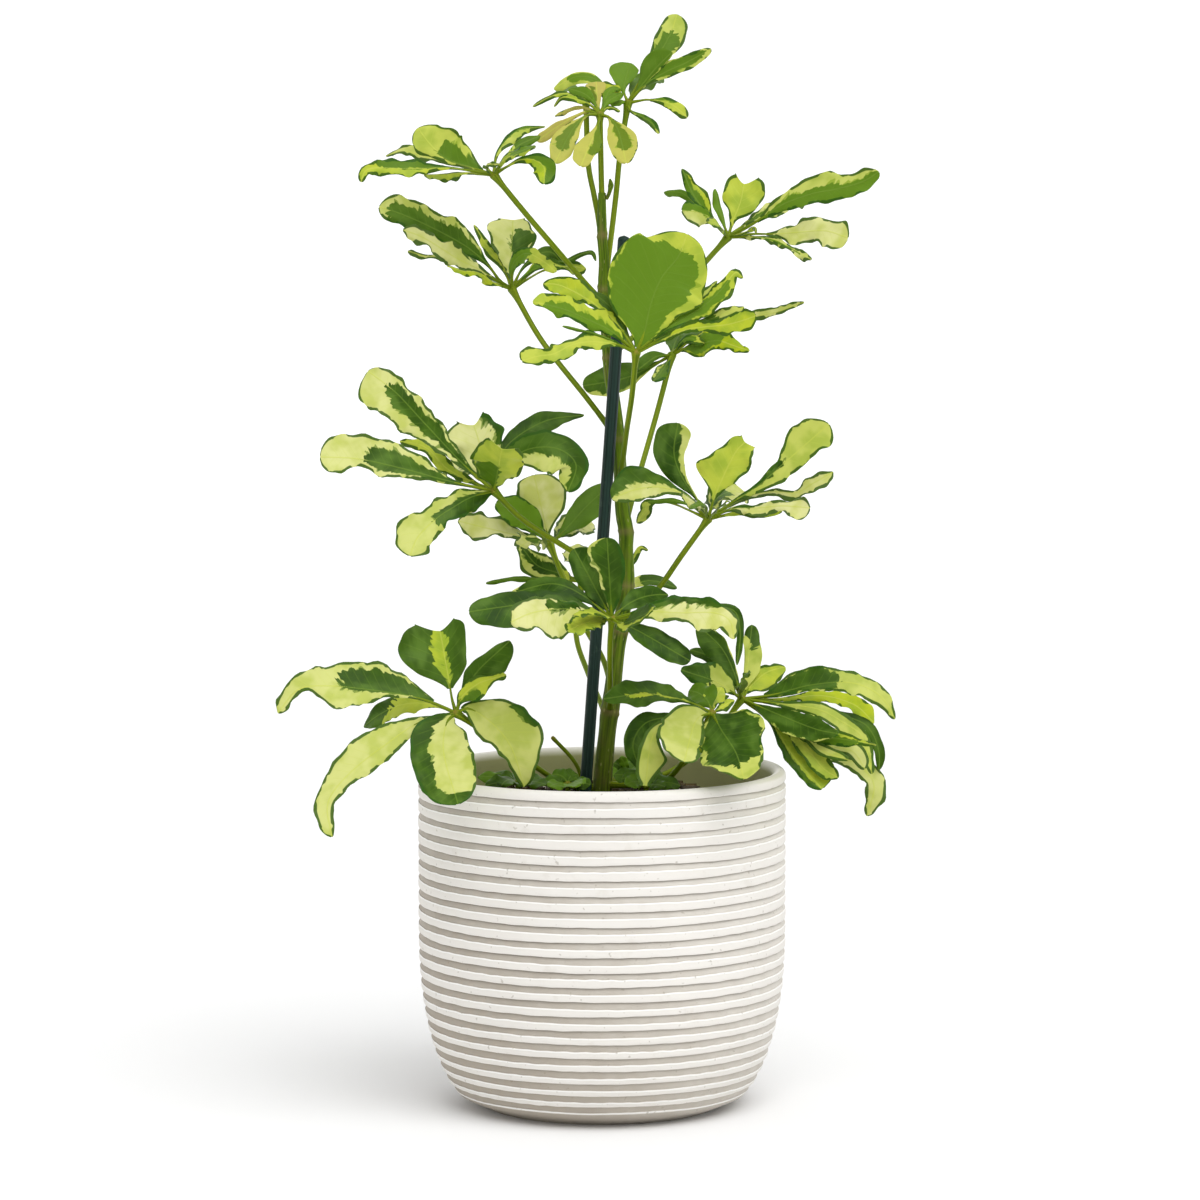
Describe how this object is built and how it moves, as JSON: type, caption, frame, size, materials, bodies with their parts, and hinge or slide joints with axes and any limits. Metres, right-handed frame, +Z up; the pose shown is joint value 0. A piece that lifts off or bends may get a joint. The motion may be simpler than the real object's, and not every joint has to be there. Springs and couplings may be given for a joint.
{
  "type": "potted umbrella plant",
  "caption": "Variegated umbrella plant with whorls of cream and green leaflets on long stalks, held by a stake in a round white ribbed pot.",
  "frame": {"origin": "middle of the flat underside of the pot's foot, on the surface that it stands on", "axes": "+Z up along the trunk, +X to the right and +Y to the back"},
  "size_m": [0.3061, 0.264, 0.5463],
  "materials": {
    "pot": "matte, off-white, with greyer grooves",
    "soil": "moist dark potting mix",
    "bark": "olive green, lightly streaked",
    "stake": "satin dark green",
    "leaf": "waxy, cream and green variegation",
    "shoot": "waxy dark green"
  },
  "bodies": {
    "root": {"pot": "pot", "soil": "soil", "trunk": "bark", "stake": "stake", "cut_stalk": "bark", "leaf_upper_left": "leaf", "leaf_second_left": "leaf", "leaf_top": "leaf", "leaf_top_back": "leaf", "leaf_top_right": "leaf", "leaf_upper_right": "leaf", "leaf_round_front": "leaf", "leaf_middle_right": "leaf", "leaf_left": "leaf", "leaf_right": "leaf", "leaf_low_left": "leaf", "leaf_back": "leaf", "leaf_front": "leaf", "leaf_low_front_left": "leaf", "leaf_low_front_right": "leaf", "leaf_low_right": "leaf", "shoot_left": "shoot", "shoot_front": "shoot", "shoot_back": "shoot", "shoot_right": "shoot"}
  },
  "joints": []
}
